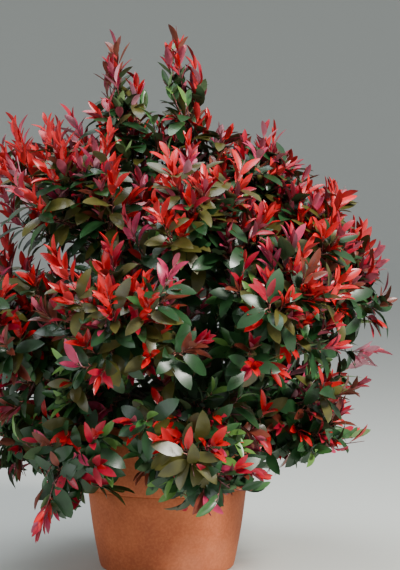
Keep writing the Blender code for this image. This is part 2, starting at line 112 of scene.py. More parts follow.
# Trunk: its radius at shares of its height, from the flare up
TRUNK_HEIGHT = 0.145
TRUNK_LEAN = Vector((0.006, -0.003, 0.0))
TRUNK_TAPER = ((0.0, 0.036), (0.06, 0.030), (0.16, 0.0245), (0.32, 0.021),
               (0.62, 0.0185), (0.88, 0.0165), (1.0, 0.015))

# Limbs: steps in a bough and a stem, and the reach of a curve's two handles as shares of its length
BOUGH_STEPS = 5
STEM_STEPS = 4
HANDLE_OUT = 0.38
HANDLE_IN = 0.34
STUB = 0.012
COLLAR_SWELL = 1.35

# A limb's way: where it leaves its parent, its direction there, its tip, its direction there, and
# its radius at both ends
Route = collections.namedtuple("Route", "share heading tip tip_heading radii")

# Places round the trunk. Reach and height each gain spread and tilt at the turn, and lose them opposite
Ring = collections.namedtuple("Ring", "reach spread height tilt turn")


def polar(radius, azimuth, height):
    return Vector((radius * math.cos(azimuth), radius * math.sin(azimuth), height))


def ring_heading(azimuth, elevation):
    return polar(math.cos(elevation), azimuth, math.sin(elevation))


# Upper boughs and the tips of their foliage
LEADER = Route(0.98, Vector((0.12, 0.05, 1.0)).normalized(), Vector((0.088, 0.004, 0.850)),
               Vector((0.05, 0.0, 1.0)).normalized(), (0.0125, 0.0055))
LEFT_SPIRE = Route(0.34, ring_heading(math.radians(190), 0.75), Vector((-0.050, -0.020, 0.850)),
                   ring_heading(math.radians(170), 1.45), (0.0065, 0.0042))
RIGHT_CREST = Route(0.55, ring_heading(math.radians(-20), 0.75), Vector((0.185, -0.040, 0.800)),
                    ring_heading(math.radians(-15), 1.25), (0.0060, 0.0042))
CENTRE_SPIRE_TIP = Vector((0.025, 0.0, 1.296))
LEFT_SPIRE_TIP = Vector((-0.126, -0.030, 1.262))
RIGHT_CREST_TIP = Vector((0.245, -0.050, 1.050))

# Rings of boughs: seven each of main, side and low ones, with their elevations at foot and tip
RING_COUNT = 7
RING_STEP = math.tau / RING_COUNT
MAIN_TIPS = Ring(0.175, 0.0, 0.715, -0.030, 0.0)
MAIN_FOOT = 0.62
MAIN_FOOT_STEP = 0.045
MAIN_FOOT_SKIP = 3
MAIN_CLIMB = (0.62, 1.02)
MAIN_RADII = (0.0082, 0.0045)
SIDE_TIPS = Ring(0.285, 0.0, 0.590, 0.030, 0.0)
SIDE_FOOT = 0.40
SIDE_TURN = 0.30
SIDE_CLIMB = (0.42, 0.40)
SIDE_RADII = (0.0052, 0.0036)
LOW_TIPS = Ring(0.235, 0.0, 0.432, 0.0, 0.0)
LOW_FOOT = 0.26
LOW_FOOT_STEP = 0.10
LOW_CLIMB = (0.36, 0.02)
LOW_RADII = (0.0062, 0.0040)

# Rings of foliage tips. The skirt hangs lowest at the front left
SHOULDER_TIPS = Ring(0.425, 0.050, 0.970, -0.080, 0.0)
MIDDLE_TIPS = Ring(0.555, -0.010, 0.680, 0.065, 0.0)
SKIRT_TIPS = Ring(0.445, 0.0, 0.235, -0.075, math.radians(235))

# How strongly shoots turn up, or down where negative
CROWN_TROPISM = 0.35
MIDDLE_TROPISM = 0.10
SKIRT_TROPISM = -0.30

# Crown outline: a dome sheared so that its left side stands higher
DOME_RADIUS = 0.560
DOME_WAIST = 0.720
DOME_RISE = 0.345
DOME_FALL = 0.610
DOME_POWER = 2.5
DOME_SHEAR = 0.18
TIP_REACH = 0.085

# The outline's top may be passed a little, and each shoot that stands out of it narrows to its tip
OUTER_REACH = 0.050
TIP_NARROWING = 0.45
CROWN_TOP = CAD_BOX[1][2] + 0.025
POT_CLEARANCE = 0.004

# The foliage's lower edge, which rises to the right
HEM_HEIGHT = 0.165
HEM_SLOPE = 0.36
HEM_LOWEST = 0.115

# Bark
BARK_SIDES = 16
BARK_STEP = 0.006
RIDGE_DEPTH = 0.035
KNOT_DEPTH = 0.06
ROOT_LOBES = 5
LOBE_DEPTH = 0.16
LOBE_HEIGHT = 0.016

# Stems and twigs, as in the solids. Angles off the stem in degrees, and what they lose by its tip
GOLDEN_ANGLE = math.pi * (3.0 - math.sqrt(5.0))
SOLID_LEAF_LENGTH = 0.128
STEM_TIP_RADIUS = 0.0024
STEM_END_SHARE = 0.92
STEM_STEP = 0.02
TWIG_LENGTH = 0.150
TWIG_SHORTENING = 0.45
TWIG_VARIATION = (0.85, 1.1)
TWIG_TRIES = (1.0, 0.75, 0.5)
TWIG_SPREAD = 72
TWIG_CLOSING = 22
FIRST_TWIG = 0.10
TWIG_STRETCH = 0.78
TWIGS_PER_MASS = 7
TWIG_SIDES = 6
TWIG_RADII = (0.0028, 0.0024, 0.0018)
TWIG_SAG = 0.05

# Shoots, the finest twigs: how many, how long, and how they turn up towards the light
TWIG_SHOOTS = 5
TWIG_SHOOT_LENGTH = 0.074
STEM_SHOOTS = 10
STEM_SHOOT_LENGTH = 0.084
STEM_SHOOT_TURN = 0.6
SHOOT_VARIATION = (0.75, 1.2)
SHOOT_SPREAD = (0.55, 0.95)
SHOOT_LIFT = 0.38
SHOOT_TRIES = (1.0, 0.7, 0.45)
SHOOT_RADII = (0.0014, 0.0012, 0.0008)
SHOOT_RISE = 0.10
SHOOT_SAG = 0.06
FIRST_SHOOT = 0.16
SHOOT_STRETCH = 0.74
END_SHOOT = 0.96
END_SHOOT_STRETCH = 1.7
LEADING_SHOOT = 0.97
LEADING_SHOOT_LENGTH = 0.62

# Shoots on the boughs, which fill the crown's inside
INNER_SHOOTS = 6
INNER_SHOOT_LENGTHS = (0.09, 0.15)
INNER_SHOOT_SPREAD = (0.7, 1.2)
INNER_OUTWARD = 0.7
INNER_LEAVES = 9
FIRST_INNER_SHOOT = 0.45
INNER_STRETCH = 0.50

# Leaves on a shoot, crowded towards its tip: shares of its length where young and tip leaves begin
SHOOT_LEAVES = (8, 10)
END_SHOOT_LEAVES = 13
LEADING_LEAVES = 9
FIRST_LEAF = 0.16
LEAF_CROWDING = 0.85
LAST_LEAF = 0.985
YOUNG_FROM = 0.48
TIP_FROM = 0.80
MATURE_DROOP = (-0.35, 0.10)
FACING_RISE = 0.35
TIP_FACING = 0.6
OPEN_FACING = 1.6
LEAF_SLACK = 0.012

# Old leaves straight on the twigs and stems
TWIG_OLD_LEAVES = 5
STEM_OLD_LEAVES = 8
STEM_OLD_TURN = 1.3
FIRST_OLD_LEAF = 0.12
OLD_STRETCH = 0.76
OLD_SPREAD = (0.9, 1.3)
OLD_OUTWARD = 2.0

# How red a spray is grows with its height, its distance from the trunk and chance
RED_FROM_HEIGHT = 0.25
RED_HEIGHT_SPAN = 0.75
RED_BY_HEIGHT = 0.40
RED_BY_REACH = 0.62
RED_BY_CHANCE = 0.42
SPRAY_STEPS = ((0.78, "scarlet"), (0.58, "crimson"), (0.46, "rose"), (0.30, "bronze"), (0.14, "green"))

# The most leaves in one piece
MOST_LEAVES = 3300

Limb = collections.namedtuple("Limb", "name path radii")
Mass = collections.namedtuple("Mass", "name start heading base_radius tip tropism slot")
Leaf = collections.namedtuple("Leaf", "root direction facing length width curl fold wave")
Kind = collections.namedtuple("Kind", "length width spread curl fold")

# Length, width as its share, angle off the shoot, bend of the blade and slope of its two halves
TIP_LEAF = Kind((0.034, 0.052), 0.31, (0.08, 0.38), (0.05, 0.35), (0.40, 0.90))
YOUNG_LEAF = Kind((0.042, 0.062), 0.35, (0.30, 0.70), (0.1, 0.6), (0.20, 0.60))
MATURE_LEAF = Kind((0.058, 0.084), 0.44, (0.75, 1.30), (0.2, 0.9), (0.05, 0.30))
WIDTH_VARIATION = (0.9, 1.12)

# Leaf colours as (upper side, underside)
LEAF_COLOURS = {
    "scarlet": ((0.540, 0.004, 0.008), (0.400, 0.014, 0.018)),
    # The pale pink undersides of crimson and rose leaves are partly the leaves' real paler underside
    # and partly a painted sheen
    "crimson": ((0.360, 0.004, 0.024), (0.380, 0.070, 0.110)),
    "rose": ((0.430, 0.030, 0.090), (0.520, 0.220, 0.280)),
    "bronze": ((0.150, 0.030, 0.016), (0.190, 0.055, 0.034)),
    "olive": ((0.070, 0.066, 0.013), (0.110, 0.100, 0.036)),
    "dark_green": ((0.013, 0.050, 0.014), (0.075, 0.130, 0.055)),
    "mid_green": ((0.035, 0.110, 0.026), (0.110, 0.190, 0.080)),
    "fresh_green": ((0.110, 0.230, 0.045), (0.180, 0.290, 0.110)),
}
# The colour whose leaves stand for the solids of each slot
LEADING_COLOUR = {"scarlet": "red_foliage", "bronze": "bronze_foliage", "dark_green": "green_foliage"}
# Colours of a spray's tip, middle and foot
SPRAYS = {
    "scarlet": ("scarlet", "scarlet", "olive"),
    "crimson": ("scarlet", "crimson", "dark_green"),
    "rose": ("crimson", "rose", "dark_green"),
    "bronze": ("crimson", "bronze", "dark_green"),
    "green": ("fresh_green", "mid_green", "dark_green"),
    "dark": ("mid_green", "dark_green", "dark_green"),
}


# Materials

COAT_ROUGHNESS = 0.2


class Shader:
    """A Principled material with helpers for its procedural inputs."""

    def __init__(self, name, roughness, coat=0.0, specular=0.5):
        self.material = bpy.data.materials.new(name)
        self.material.use_nodes = True
        self.tree = self.material.node_tree
        self.surface = self.tree.nodes["Principled BSDF"]
        self.surface.inputs["Roughness"].default_value = roughness
        self.surface.inputs["Coat Weight"].default_value = coat
        self.surface.inputs["Coat Roughness"].default_value = COAT_ROUGHNESS
        self.surface.inputs["Specular IOR Level"].default_value = specular
        self.place = self.tree.nodes.new("ShaderNodeTexCoord").outputs["Object"]

    def noise(self, scale, detail=4.0, stretch=(1.0, 1.0, 1.0)):
        mapping = self.tree.nodes.new("ShaderNodeMapping")
        mapping.inputs["Scale"].default_value = stretch
        texture = self.tree.nodes.new("ShaderNodeTexNoise")
        texture.inputs["Scale"].default_value = scale
        texture.inputs["Detail"].default_value = detail
        self.tree.links.new(self.place, mapping.inputs["Vector"])
        self.tree.links.new(mapping.outputs["Vector"], texture.inputs["Vector"])
        return texture.outputs["Fac"]

    def ramp(self, factor, stops):
        node = self.tree.nodes.new("ShaderNodeValToRGB")
        elements = node.color_ramp.elements
        while len(elements) < len(stops):
            elements.new(0.5)
        for element, (position, colour) in zip(elements, stops):
            element.position = position
            element.color = (*colour, 1.0)
        self.tree.links.new(factor, node.inputs["Fac"])
        return node.outputs["Color"]

    def mix(self, factor, first, second):
        node = self.tree.nodes.new("ShaderNodeMix")
        node.data_type = "RGBA"
        self.feed(node.inputs["Factor"], factor)
        self.feed(node.inputs["A"], first)
        self.feed(node.inputs["B"], second)
        return node.outputs["Result"]

    def feed(self, socket, value):
        if isinstance(value, bpy.types.NodeSocket):
            self.tree.links.new(value, socket)
        elif isinstance(value, tuple):
            socket.default_value = (*value, 1.0)
        else:
            socket.default_value = value

    def colour(self, value):
        self.feed(self.surface.inputs["Base Color"], value)

    def roughness(self, factor, low, high):
        node = self.tree.nodes.new("ShaderNodeMapRange")
        node.inputs["To Min"].default_value = low
        node.inputs["To Max"].default_value = high
        self.tree.links.new(factor, node.inputs["Value"])
        self.tree.links.new(node.outputs["Result"], self.surface.inputs["Roughness"])

    def bump(self, height, distance, strength=1.0):
        node = self.tree.nodes.new("ShaderNodeBump")
        node.inputs["Distance"].default_value = distance
        node.inputs["Strength"].default_value = strength
        self.tree.links.new(height, node.inputs["Height"])
        self.tree.links.new(node.outputs["Normal"], self.surface.inputs["Normal"])


def scaled(colour, factor):
    return tuple(min(1.0, channel * factor) for channel in colour)


def leaf_material(name, colour, glossy):
    """Leathery leaf: its tint drifts a little across the plant, with a thin waxy gloss."""
    shader = Shader(name, 0.38 if glossy else 0.55, coat=0.22 if glossy else 0.0, specular=0.4)
    drift = shader.noise(26.0, 3.0)
    shader.colour(shader.ramp(drift, [(0.30, scaled(colour, 0.68)), (0.70, scaled(colour, 1.28))]))
    shader.bump(shader.noise(420.0, 2.0), 0.0004, 0.35)
    return shader.material


def bark_material(name, dark, light):
    shader = Shader(name, 0.82)
    grain = shader.noise(90.0, 6.0, (1.0, 1.0, 0.25))
    shader.colour(shader.ramp(grain, [(0.32, dark), (0.55, light), (0.78, scaled(light, 1.5))]))
    shader.bump(shader.noise(240.0, 5.0, (1.0, 1.0, 0.3)), 0.0012, 0.7)
    return shader.material


def twig_material():
    """Young wood: dark maroon, smooth and slightly glossy."""
    shader = Shader("twig_skin", 0.45, coat=0.1)
    drift = shader.noise(60.0, 3.0)
    shader.colour(shader.ramp(drift, [(0.30, (0.030, 0.010, 0.010)), (0.75, (0.150, 0.028, 0.030))]))
    shader.bump(shader.noise(500.0, 2.0), 0.0003, 0.4)
    return shader.material


def petiole_material():
    shader = Shader("petiole_skin", 0.45)
    drift = shader.noise(50.0, 2.0)
    shader.colour(shader.ramp(drift, [(0.30, (0.33, 0.07, 0.07)), (0.70, (0.46, 0.22, 0.14))]))
    return shader.material


def terracotta_material():
    """Smooth fired clay, mottled, with paler bloom in patches and fine wheel marks."""
    shader = Shader("terracotta_clay", 0.72)
    mottle = shader.noise(9.0, 5.0)
    clay = shader.ramp(mottle, [(0.28, (0.330, 0.070, 0.022)), (0.52, (0.470, 0.110, 0.034)),
                                (0.76, (0.590, 0.165, 0.060))])
    speckle = shader.noise(160.0, 3.0)
    speckled = shader.mix(0.16, clay, shader.ramp(speckle, [(0.40, (0.20, 0.045, 0.018)),
                                                            (0.66, (0.66, 0.24, 0.11))]))
    bloom = shader.noise(3.2, 6.0, (1.0, 1.0, 1.6))
    patch = shader.ramp(bloom, [(0.56, (0.0, 0.0, 0.0)), (0.80, (0.35, 0.35, 0.35))])
    shader.colour(shader.mix(patch, speckled, (0.62, 0.30, 0.19)))
    shader.roughness(mottle, 0.62, 0.84)
    wheel = shader.noise(70.0, 3.0, (0.06, 0.06, 1.0))
    shader.bump(wheel, 0.0016, 0.35)
    return shader.material


def compost_material():
    shader = Shader("compost_crumb", 0.95)
    crumb = shader.noise(130.0, 8.0)
    shader.colour(shader.ramp(crumb, [(0.30, (0.010, 0.006, 0.004)), (0.55, (0.040, 0.024, 0.015)),
                                      (0.80, (0.110, 0.070, 0.042))]))
    shader.bump(shader.noise(210.0, 8.0), 0.004, 0.9)
    return shader.material


def plain_material(name, colour, roughness):
    shader = Shader(name, roughness)
    shader.colour(colour)
    return shader.material


# Geometry helpers


def bezier(start, control_a, control_b, end, share):
    rest = 1.0 - share
    return (start * rest**3 + control_a * (3 * rest**2 * share)
            + control_b * (3 * rest * share**2) + end * share**3)


def sweep(start, heading, end, end_heading, count):
    """A path that leaves its start straight along its heading and then bends over to its end."""
    reach = (end - start).length
    bend_start = start + heading * STUB
    control_a = start + heading * reach * HANDLE_OUT
    control_b = end - end_heading * reach * HANDLE_IN
    path = [start]
    for step in range(count):
        path.append(bezier(bend_start, control_a, control_b, end, step / (count - 1)))
    return path


def taper(base_radius, tip_radius, count):
    return [base_radius + (tip_radius - base_radius) * i / (count - 1) for i in range(count)]


def point_on(path, share):
    """Place and direction at a share of the path's length."""
    lengths = [(b - a).length for a, b in zip(path, path[1:])]
    left = share * sum(lengths)
    for index, length in enumerate(lengths):
        if left <= length or index == len(lengths) - 1:
            break
        left -= length
    start, end = path[index], path[index + 1]
    return start.lerp(end, left / lengths[index]), (end - start).normalized()


def side_heading(heading, turn, spread):
    """A direction that leaves the heading at the spread angle, turned round it."""
    side = heading.orthogonal().normalized()
    side = Matrix.Rotation(turn, 3, heading) @ side
    return (heading * math.cos(spread) + side * math.sin(spread)).normalized()


def add_piece(name, mesh, nodes, materials):
    """A finished piece of the plant or pot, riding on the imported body."""
    for material in materials:
        mesh.materials.append(material)
    piece = bpy.data.objects.new(name, mesh)
    bpy.context.scene.collection.objects.link(piece)
    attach(piece, "root")
    if nodes:
        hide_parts(*nodes)
    return piece


class Tubes:
    """Tapering tubes gathered into one mesh."""

    def __init__(self):
        self.points = []
        self.faces = []

    def add(self, path, radii, sides, relief=None):
        """A tube along the path, closed at both ends. relief(place, angle) scales its radius."""
        first = len(self.points)
        side = (path[1] - path[0]).orthogonal().normalized()
        for index, (place, radius) in enumerate(zip(path, radii)):
            before = path[max(index - 1, 0)]
            after = path[min(index + 1, len(path) - 1)]
            heading = (after - before).normalized()
            side = (side - heading * side.dot(heading)).normalized()
            across = heading.cross(side)
            for step in range(sides):
                angle = step * math.tau / sides
                ray = side * math.cos(angle) + across * math.sin(angle)
                reach = radius * (relief(place + ray * radius, angle) if relief else 1.0)
                self.points.append(place + ray * reach)
        rings = len(path)
        for ring in range(rings - 1):
            low = first + ring * sides
            for step in range(sides):
                turn = (step + 1) % sides
                self.faces.append((low + step, low + turn, low + sides + turn, low + sides + step))
        self.faces.append(tuple(first + step for step in reversed(range(sides))))
        self.faces.append(tuple(first + (rings - 1) * sides + step for step in range(sides)))

    def mesh(self, name):
        mesh = bpy.data.meshes.new(name)
        mesh.from_pydata(self.points, [], self.faces)
        mesh.polygons.foreach_set("use_smooth", [len(face) == 4 for face in self.faces])
        return mesh


# Pot and compost


def inner_radius(height):
    foot = POT_FOOT_RADIUS - POT_WALL + POT_BELLY
    rim = POT_RIM_RADIUS - POT_WALL
    return foot + (rim - foot) * (height - POT_FLOOR) / (POT_HEIGHT - POT_FLOOR)


def belly_radius(height):
    share = height / POT_LINE_HEIGHT
    cone = POT_FOOT_RADIUS + (POT_LINE_RADIUS - POT_FOOT_RADIUS) * share
    return cone + POT_BELLY * math.sin(math.pi * share)


def rounded_corner(radius, height, reach, start, end, count=5):
    """Points of a quarter round about a centre, from one angle to the other in quarter turns."""
    points = []
    for step in range(count):
        angle = (start + (end - start) * step / (count - 1)) * math.pi / 2
        points.append((radius + reach * math.cos(angle), height + reach * math.sin(angle)))
    return points


def pot_profile():
    """The pot's section from the middle of its floor, over the rim and down to its underside."""
    lip = POT_HEIGHT - POT_LIP_HEIGHT
    rim_inside = inner_radius(POT_HEIGHT)
    body_radius = POT_RIM_RADIUS - POT_LIP_STEP
    line_top = POT_LINE_HEIGHT + POT_LINE_WIDTH / 2
    line_foot = POT_LINE_HEIGHT - POT_LINE_WIDTH / 2
    profile = [(0.0, POT_FLOOR), (inner_radius(POT_FLOOR) * 0.5, POT_FLOOR),
               (inner_radius(POT_FLOOR), POT_FLOOR)]
    profile += [(inner_radius(height), height) for height in (0.10, 0.18, 0.26, 0.32)]
    profile += rounded_corner(rim_inside + POT_EDGE, POT_HEIGHT - POT_EDGE, POT_EDGE, 2, 1)
    profile += rounded_corner(POT_RIM_RADIUS - POT_EDGE, POT_HEIGHT - POT_EDGE, POT_EDGE, 1, 0)
    profile += [(POT_RIM_RADIUS, POT_HEIGHT - POT_LIP_HEIGHT / 2),
                (POT_RIM_RADIUS, lip + POT_LIP_STEP / 2),
                (POT_RIM_RADIUS - POT_LIP_STEP / 3, lip),
                (body_radius, lip - POT_LIP_STEP),
                ((body_radius + POT_LINE_RADIUS) / 2, (lip + POT_LINE_HEIGHT) / 2),
                (POT_LINE_RADIUS + POT_LINE_DEPTH / 2, line_top + POT_LINE_WIDTH / 4),
                (POT_LINE_RADIUS - POT_LINE_DEPTH / 2, line_top - POT_LINE_WIDTH / 4),
                (POT_LINE_RADIUS - POT_LINE_DEPTH, POT_LINE_HEIGHT),
                (POT_LINE_RADIUS - POT_LINE_DEPTH / 2, line_foot + POT_LINE_WIDTH / 4)]
    profile += [(belly_radius(line_foot * share), line_foot * share)
                for share in (1.0, 0.85, 0.68, 0.51, 0.34, 0.17, 0.06)]
    profile += rounded_corner(POT_FOOT_RADIUS - POT_EDGE, POT_EDGE, POT_EDGE, 0, -1, 4)
    profile += [(POT_FOOT_RADIUS * 0.5, 0.0), (0.0, 0.0)]
    return profile


def turned_mesh(name, profile, steps):
    """A body of revolution from (radius, height) points that run down its outer side."""
    points = []
    rings = []
    for radius, height in profile:
        count = steps if radius > 0.0 else 1
        rings.append([len(points) + step % count for step in range(steps + 1)])
        points += [polar(radius, math.tau * step / steps, height) for step in range(count)]
    faces = []
    for ring, after in zip(rings, rings[1:]):
        for step in range(steps):
            corners = (ring[step], after[step], after[step + 1], ring[step + 1])
            faces.append(tuple(dict.fromkeys(corners)))
    mesh = bpy.data.meshes.new(name)
    mesh.from_pydata(points, [], faces)
    return mesh


def make_pot():
    mesh = turned_mesh("pot_clay", pot_profile(), POT_STEPS)
    body = bpy.data.objects.new("pot_blank", mesh)
    bpy.context.scene.collection.objects.link(body)
    drills = [make_drill(index) for index in range(DRAIN_COUNT)]
    for drill in drills:
        cut = body.modifiers.new("drain", "BOOLEAN")
        cut.object = drill
    graph = bpy.context.evaluated_depsgraph_get()
    cut_mesh = bpy.data.meshes.new_from_object(body.evaluated_get(graph))
    for helper in [body, *drills]:
        bpy.data.objects.remove(helper, do_unlink=True)
    for vertex in cut_mesh.vertices:
        push_clay(vertex)
    cut_mesh.shade_smooth()
    cut_mesh.set_sharp_from_angle(angle=math.radians(40))
    add_piece("clay_pot", cut_mesh, ["pot"], [terracotta_material()])


def make_drill(index):
    mesh = bpy.data.meshes.new("drill")
    shape = bmesh.new()
    bmesh.ops.create_cone(shape, cap_ends=True, segments=24, radius1=DRAIN_RADIUS,
                          radius2=DRAIN_RADIUS, depth=POT_FLOOR * 3)
    shape.to_mesh(mesh)
    shape.free()
    drill = bpy.data.objects.new("drill", mesh)
    drill.location = polar(DRAIN_RING, index * math.tau / DRAIN_COUNT, 0.0)
    bpy.context.scene.collection.objects.link(drill)
    return drill


def push_clay(vertex):
    """The clay is not quite true: up to half a millimetre in or out, and none underneath."""
    if vertex.co.z > POT_EDGE:
        ray = Vector((vertex.co.x, vertex.co.y, 0.0))
        if ray.length > 0.1:
            vertex.co += ray.normalized() * POT_WOBBLE * noise.noise(vertex.co * 9.0)


def soil_surface(share):
    """Height of the slightly domed compost at a share of its radius."""
    return SOIL_HEIGHT + (SOIL_EDGE_HEIGHT - SOIL_HEIGHT) * share**2


def make_compost():
    """An uneven, crumbly surface with loose crumbs of bark, over a plain filling."""
    edge_radius = inner_radius(SOIL_EDGE_HEIGHT) - SEAT_GAP
    foot = POT_FLOOR + SEAT_GAP
    profile = []
    for step in range(SOIL_RINGS):
        share = step / (SOIL_RINGS - 1)
        profile.append((edge_radius * share, soil_surface(share)))
    profile += [(inner_radius(foot) - SEAT_GAP, foot), (0.0, foot)]
    mesh = turned_mesh("compost", profile, SOIL_STEPS)
    for vertex in mesh.vertices:
        if vertex.co.z > SOIL_EDGE_HEIGHT - 0.001 and vertex.co.xy.length < edge_radius - 0.001:
            lumps = noise.noise(vertex.co * SOIL_LUMPS)
            grains = noise.noise(vertex.co * SOIL_GRAINS)
            vertex.co.z += SOIL_ROUGHNESS * (lumps + SOIL_GRAIN_SHARE * grains)
    shape = bmesh.new()
    shape.from_mesh(mesh)
    dice = random.Random(11)
    for _ in range(CRUMB_COUNT):
        add_crumb(shape, dice, edge_radius)
    shape.to_mesh(mesh)
    shape.free()
    mesh.shade_smooth()
    add_piece("compost_filling", mesh, ["soil"], [compost_material()])


def add_crumb(shape, dice, edge_radius):
    radius = math.sqrt(dice.uniform(0.03, 0.95)) * edge_radius
    height = soil_surface(radius / edge_radius)
    place = polar(radius, dice.uniform(0.0, math.tau), height + CRUMB_LIFT)
    size = dice.uniform(*CRUMB_SIZES)
    flat = Matrix.Diagonal((1.0, dice.uniform(0.5, 1.0), dice.uniform(0.35, 0.8), 1.0))
    turn = Matrix.Rotation(dice.uniform(0.0, math.tau), 4, "Z")
    bmesh.ops.create_icosphere(shape, subdivisions=1, radius=size,
                               matrix=Matrix.Translation(place) @ turn @ flat)


# Limbs


def seated_start(place, heading, parent_heading, parent_radius, radius):
    """Where a limb's cut end stands clear of its round parent, as in the solids."""
    cosine = abs(heading.dot(parent_heading))
    sine = math.sqrt(max(0.05, 1.0 - cosine * cosine))
    return place + heading * ((parent_radius + SEAT_GAP + radius * cosine) / sine)


def grow_bough(name, parent, route):
    """A limb on the solids' path, whose foot runs back into its parent with a swollen collar."""
    place, parent_heading = point_on(parent.path, route.share)
    parent_radius = radius_at(parent, route.share)
    foot_radius = route.radii[0]
    start = seated_start(place, route.heading, parent_heading, parent_radius, foot_radius)
    path = sweep(start, route.heading, route.tip, route.tip_heading, BOUGH_STEPS)
    return Limb(name, [place, *path], [foot_radius * COLLAR_SWELL, *taper(*route.radii, len(path))])


def radius_at(limb, share):
    position = share * (len(limb.radii) - 1)
    index = min(int(position), len(limb.radii) - 2)
    return limb.radii[index] + (limb.radii[index + 1] - limb.radii[index]) * (position - index)


def make_trunk():
    """A short leaning trunk that flares where it leaves the compost."""
    foot = Vector((0.0, 0.0, SOIL_HEIGHT + SEAT_GAP))
    path = [foot + Vector((0.0, 0.0, TRUNK_HEIGHT * share)) + TRUNK_LEAN * share**2
            for share, _ in TRUNK_TAPER]
    return Limb("trunk", path, [radius for _, radius in TRUNK_TAPER])


def place_on(ring, azimuth):
    swing = math.cos(azimuth - ring.turn)
    return polar(ring.reach + ring.spread * swing, azimuth, ring.height + ring.tilt * swing)


def ring_route(share, foot_azimuth, azimuth, tips, climb, radii):
    """The way of a bough in a ring, out from its foot to its place among the tips."""
    foot_climb, tip_climb = climb
    return Route(share, ring_heading(foot_azimuth, foot_climb), place_on(tips, azimuth),
                 ring_heading(azimuth, tip_climb), radii)


def mass_on(limb, name, tip, tropism, slot):
    """A foliage mass whose stem goes straight on from the limb's tip."""
    heading = (limb.path[-1] - limb.path[-2]).normalized()
    start = limb.path[-1] + heading * SEAT_GAP
    return Mass(name, start, heading, limb.radii[-1], tip, tropism, slot)


def make_boughs(trunk):
    """Every bough of the shrub, and the foliage mass that each one carries."""
    leader = grow_bough("leader_bough", trunk, LEADER)
    left_spire = grow_bough("left_spire_bough", leader, LEFT_SPIRE)
    right_crest = grow_bough("right_crest_bough", leader, RIGHT_CREST)
    limbs = [trunk, leader, left_spire, right_crest]
    masses = [
        mass_on(leader, "centre_spire_foliage", CENTRE_SPIRE_TIP, CROWN_TROPISM, "red_foliage"),
        mass_on(left_spire, "left_spire_foliage", LEFT_SPIRE_TIP, CROWN_TROPISM, "red_foliage"),
        mass_on(right_crest, "right_crest_foliage", RIGHT_CREST_TIP, CROWN_TROPISM, "red_foliage"),
    ]
    for index in range(RING_COUNT):
        azimuth = (index + 0.5) * RING_STEP
        between = azimuth + RING_STEP / 2
        main = grow_main_bough(index, azimuth, trunk)
        side = grow_side_bough(index, between, main)
        low = grow_low_bough(index, azimuth, trunk)
        limbs += [main, side, low]
        shoulder_tip = place_on(SHOULDER_TIPS, azimuth)
        middle_tip = place_on(MIDDLE_TIPS, between)
        skirt_tip = place_on(SKIRT_TIPS, azimuth)
        masses += [
            mass_on(main, f"shoulder_foliage_{index + 1}", shoulder_tip, CROWN_TROPISM, "red_foliage"),
            mass_on(side, f"middle_foliage_{index + 1}", middle_tip, MIDDLE_TROPISM, "bronze_foliage"),
            mass_on(low, f"skirt_foliage_{index + 1}", skirt_tip, SKIRT_TROPISM, "green_foliage"),
        ]
    return limbs, masses


def grow_main_bough(index, azimuth, trunk):
    """A bough from the trunk's upper part, whose foot height differs from its neighbours'."""
    share = MAIN_FOOT + MAIN_FOOT_STEP * (index * MAIN_FOOT_SKIP % RING_COUNT)
    route = ring_route(share, azimuth, azimuth, MAIN_TIPS, MAIN_CLIMB, MAIN_RADII)
    return grow_bough(f"main_bough_{index + 1}", trunk, route)


def grow_side_bough(index, azimuth, main):
    """A bough that forks from a main one and swings into the space between two of them."""
    route = ring_route(SIDE_FOOT, azimuth + SIDE_TURN, azimuth, SIDE_TIPS, SIDE_CLIMB, SIDE_RADII)
    return grow_bough(f"side_bough_{index + 1}", main, route)


def grow_low_bough(index, azimuth, trunk):
    """A bough from the trunk's foot. Neighbours leave it at different heights."""
    share = LOW_FOOT + LOW_FOOT_STEP * (index % 2) + LOW_FOOT_STEP * (index == RING_COUNT - 1)
    route = ring_route(share, azimuth, azimuth, LOW_TIPS, LOW_CLIMB, LOW_RADII)
    return grow_bough(f"low_bough_{index + 1}", trunk, route)


def refined(path, radii, step):
    """The path with a ring about every step, on a smooth curve through its points."""
    fine_path = []
    fine_radii = []
    for index in range(len(path) - 1):
        start, end = path[index], path[index + 1]
        before = path[index - 1] if index else start - (end - start)
        after = path[index + 2] if index + 2 < len(path) else end + (end - start)
        pieces = max(1, round((end - start).length / step))
        for piece in range(pieces):
            share = piece / pieces
            fine_path.append(catmull(before, start, end, after, share))
            fine_radii.append(radii[index] + (radii[index + 1] - radii[index]) * share)
    fine_path.append(path[-1])
    fine_radii.append(radii[-1])
    return fine_path, fine_radii


def catmull(before, start, end, after, share):
    square, cube = share**2, share**3
    return 0.5 * (2 * start + (end - before) * share
                  + (2 * before - 5 * start + 4 * end - after) * square
                  + (3 * start - before - 3 * end + after) * cube)


def bark_relief(place, angle):
    """Fine ridges along the bark, and lobes where the trunk runs out into its roots."""
    around = Vector((math.cos(angle) * 4.0, math.sin(angle) * 4.0, place.z * 30.0))
    ridge = RIDGE_DEPTH * noise.noise(around)
    knots = KNOT_DEPTH * noise.noise(place * 60.0)
    above_soil = max(0.0, place.z - SOIL_HEIGHT)
    lobes = LOBE_DEPTH * math.cos(ROOT_LOBES * angle + 1.0) * math.exp(-above_soil / LOBE_HEIGHT)
    return 1.0 + ridge + knots + lobes


def make_bark(limbs):
    tubes = Tubes()
    for limb in limbs:
        path, radii = refined(limb.path, limb.radii, BARK_STEP)
        tubes.add(path, radii, BARK_SIDES, bark_relief)
    material = bark_material("bark_skin", (0.022, 0.013, 0.010), (0.085, 0.052, 0.038))
    add_piece("trunk_and_boughs", tubes.mesh("trunk_and_boughs"),
              [limb.name for limb in limbs], [material])


# Foliage


